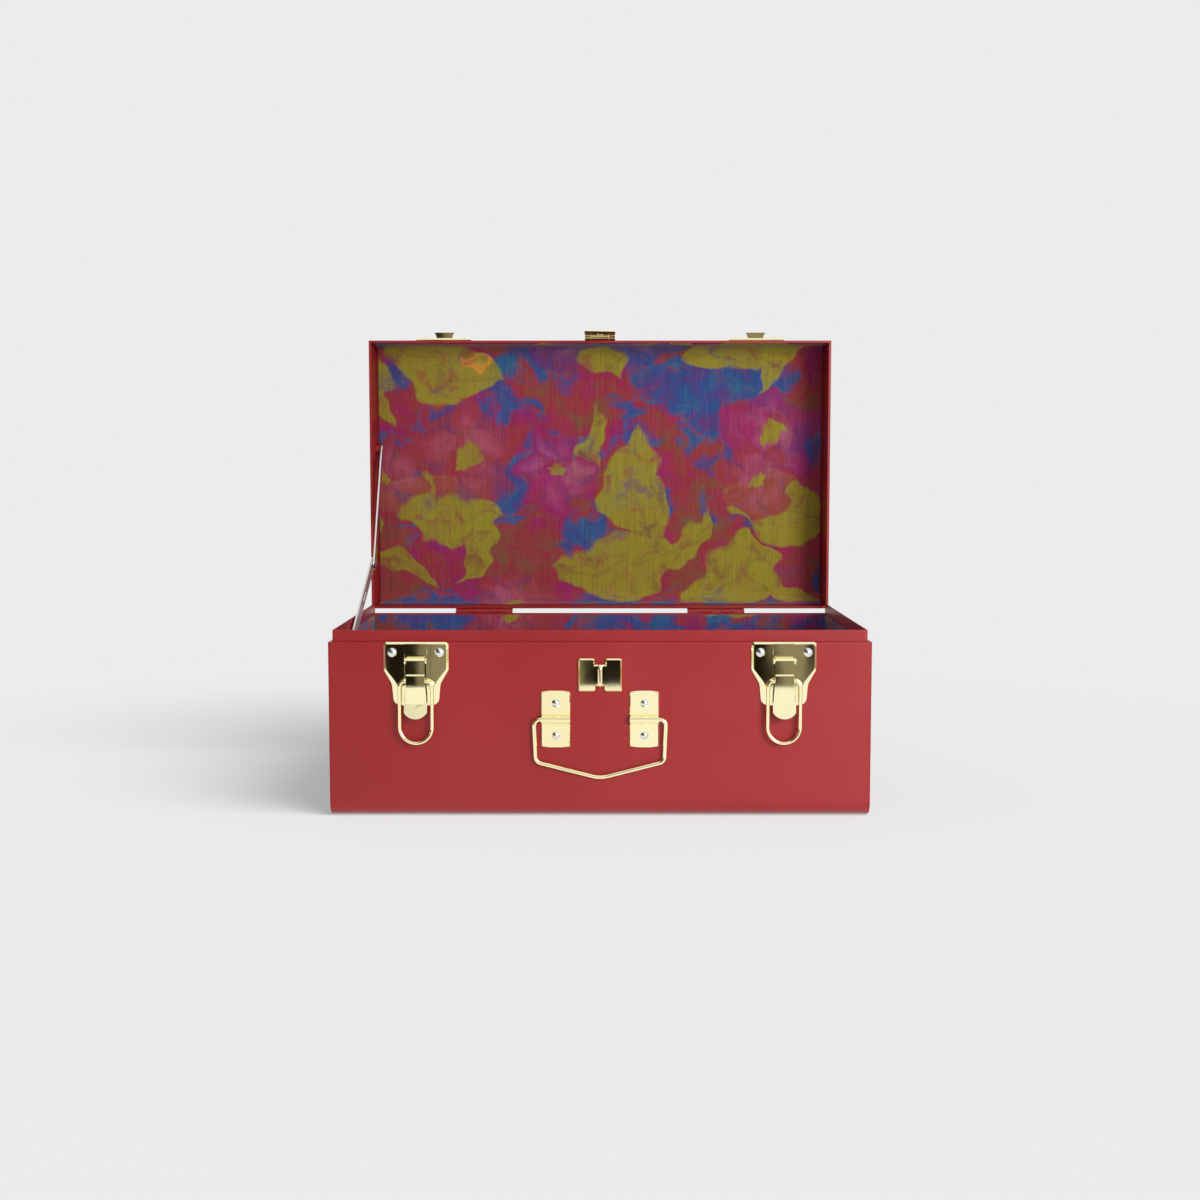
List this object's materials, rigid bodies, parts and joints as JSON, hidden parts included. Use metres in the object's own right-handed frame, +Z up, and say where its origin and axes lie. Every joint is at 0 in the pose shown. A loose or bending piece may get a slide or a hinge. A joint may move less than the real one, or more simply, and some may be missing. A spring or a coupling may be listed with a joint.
{
  "type": "storage trunk",
  "caption": "Rectangular sheet-metal storage trunk with a hinged lid, toggle latches, hasp and padlock staple, wire carrying handle, folding lid stay and cloth-covered lining.",
  "frame": {"origin": "middle of the flat bottom", "axes": "+Z up, front towards -Y, +X to the right of someone who faces the front"},
  "size_m": [0.406, 0.2952, 0.3794],
  "materials": {
    "painted_steel": "satin",
    "lining_cloth": "matte",
    "brass": "polished",
    "bright_steel": "polished"
  },
  "bodies": {
    "base": {"body_wrap": "painted_steel", "end_panel_left": "painted_steel", "end_panel_right": "painted_steel", "rim_collar": "painted_steel", "base_lining_wrap": "lining_cloth", "base_lining_left": "lining_cloth", "base_lining_right": "lining_cloth", "hinge_base_leaf_left": "painted_steel", "hinge_base_leaf_right": "painted_steel", "hinge_pins": "painted_steel", "hinge_base_rivets": "painted_steel", "latch_plate_left": "brass", "latch_plate_right": "brass", "latch_rivets": "bright_steel", "latch_pins": "brass", "handle_bracket_left": "brass", "handle_bracket_right": "brass", "handle_rivets": "bright_steel", "padlock_staple": "brass", "stay_base_bracket": "bright_steel", "stay_base_pivot": "bright_steel"},
    "lid": {"lid_wrap": "painted_steel", "lid_end_left": "painted_steel", "lid_end_right": "painted_steel", "lid_lining": "lining_cloth", "hinge_lid_leaf_left": "painted_steel", "hinge_lid_leaf_right": "painted_steel", "hinge_lid_rivets": "painted_steel", "catch_plate_left": "brass", "catch_plate_right": "brass", "catch_rivets": "bright_steel", "hasp_leaf": "brass", "hasp_pin": "brass", "hasp_rivets": "bright_steel", "stay_lid_bracket": "painted_steel", "stay_lid_pivot": "bright_steel"},
    "latch_lever_left": {"latch_lever_left": "brass"},
    "latch_lever_right": {"latch_lever_right": "brass"},
    "latch_bail_left": {"latch_bail_left": "brass"},
    "latch_bail_right": {"latch_bail_right": "brass"},
    "handle": {"carry_handle": "brass"},
    "hasp": {"hasp_strap": "brass"},
    "stay_lower": {"stay_lower_arm": "bright_steel"},
    "stay_upper": {"stay_upper_arm": "bright_steel", "stay_joint_rivet": "bright_steel"}
  },
  "joints": [
    {"name": "lid_hinge", "type": "hinge", "parent": "base", "child": "lid", "pos_m": [0, 0.1208, 0.133], "axis": [1, 0, 0], "range_deg": [0, 90]},
    {"name": "stay_lower_pivot", "type": "hinge", "parent": "base", "child": "stay_lower", "pos_m": [-0.197, -0.0321, 0.1263], "axis": [1, 0, 0], "range_deg": [-9.47, 0]},
    {"name": "stay_upper_pivot", "type": "hinge", "parent": "lid", "child": "stay_upper", "pos_m": [-0.1952, 0.1437, 0.2772], "axis": [1, 0, 0], "range_deg": [0, 31.63]},
    {"name": "latch_lever_left_pivot", "type": "hinge", "parent": "base", "child": "latch_lever_left", "pos_m": [-0.1373, -0.1222, 0.118], "axis": [-1, 0, 0], "range_deg": [0, 120]},
    {"name": "latch_bail_left_pivot", "type": "hinge", "parent": "latch_lever_left", "child": "latch_bail_left", "pos_m": [-0.1373, -0.123, 0.103], "axis": [1, 0, 0], "range_deg": [-181, 0]},
    {"name": "latch_lever_right_pivot", "type": "hinge", "parent": "base", "child": "latch_lever_right", "pos_m": [0.1373, -0.1222, 0.118], "axis": [-1, 0, 0], "range_deg": [0, 120]},
    {"name": "latch_bail_right_pivot", "type": "hinge", "parent": "latch_lever_right", "child": "latch_bail_right", "pos_m": [0.1373, -0.123, 0.103], "axis": [1, 0, 0], "range_deg": [-181, 0]},
    {"name": "handle_pivot", "type": "hinge", "parent": "base", "child": "handle", "pos_m": [0, -0.1204, 0.0738], "axis": [-1, 0, 0], "range_deg": [0, 150]},
    {"name": "hasp_hinge", "type": "hinge", "parent": "lid", "child": "hasp", "pos_m": [0, 0.1262, 0.3747], "axis": [-1, 0, 0], "range_deg": [0, 110]}
  ],
  "couplings": [
    {"joint": "stay_lower_pivot", "follows": "lid_hinge", "ratio": -0.10513},
    {"joint": "stay_upper_pivot", "follows": "lid_hinge", "ratio": 0.35137}
  ]
}
